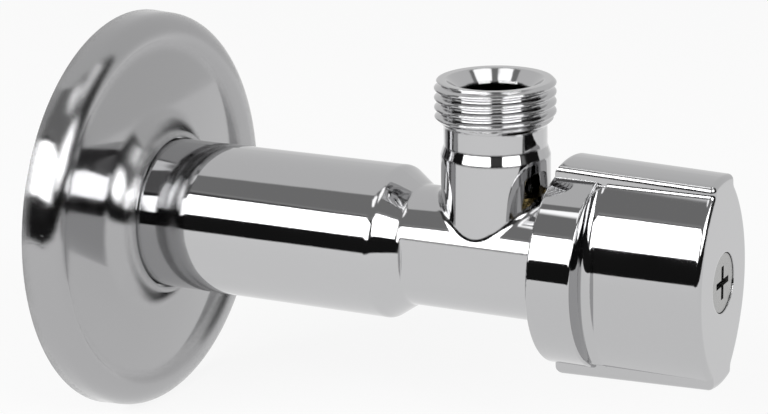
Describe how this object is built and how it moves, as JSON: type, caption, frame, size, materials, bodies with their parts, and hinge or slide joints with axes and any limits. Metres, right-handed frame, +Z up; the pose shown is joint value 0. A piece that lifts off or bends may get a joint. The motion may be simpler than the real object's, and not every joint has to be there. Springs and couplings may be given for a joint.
{
  "type": "angle valve",
  "caption": "Chrome angle valve with wall escutcheon, threaded upward outlet, rising spindle with seat washer and a two-rib turning knob.",
  "frame": {"origin": "on the inlet axis, in the plane of the wall, where the barrel's back end and the escutcheon's back edge lie", "axes": "+X along the valve's axis out of the wall towards the knob, +Z up along the outlet, +Y away from the side that the picture shows"},
  "size_m": [0.1028, 0.0586, 0.0586],
  "materials": {
    "chrome_body": "polished chrome plate on brass",
    "chrome_escutcheon": "polished chrome plate on pressed sheet",
    "chrome_knob": "polished chrome plate on die casting",
    "brass": "turned brass",
    "seal_rubber": "moulded black rubber",
    "screw_steel": "plated steel"
  },
  "bodies": {
    "valve": {"valve_body": "chrome_body", "bonnet": "brass", "bonnet_gasket": "seal_rubber"},
    "rosette": {"escutcheon": "chrome_escutcheon"},
    "closing_disc": {"jumper": "brass", "seat_washer": "seal_rubber", "washer_screw": "brass"},
    "handle": {"spindle": "brass", "spindle_o_ring_lower": "seal_rubber", "spindle_o_ring_upper": "seal_rubber", "knob": "chrome_knob", "knob_screw": "screw_steel"}
  },
  "joints": [
    {"name": "escutcheon_slide", "type": "slide", "parent": "valve", "child": "rosette", "axis": [1, 0, 0], "range_m": [0, 0.036]},
    {"name": "spindle_lift", "type": "slide", "parent": "valve", "child": "closing_disc", "axis": [1, 0, 0], "range_m": [0, 0.0045]},
    {"name": "handle_turn", "type": "hinge", "parent": "closing_disc", "child": "handle", "pos_m": [0.08, 0, 0], "axis": [1, 0, 0], "range_deg": [0, 1080]}
  ],
  "couplings": [
    {"joint": "spindle_lift", "follows": "handle_turn", "m_per_rad": 0.00023873}
  ]
}
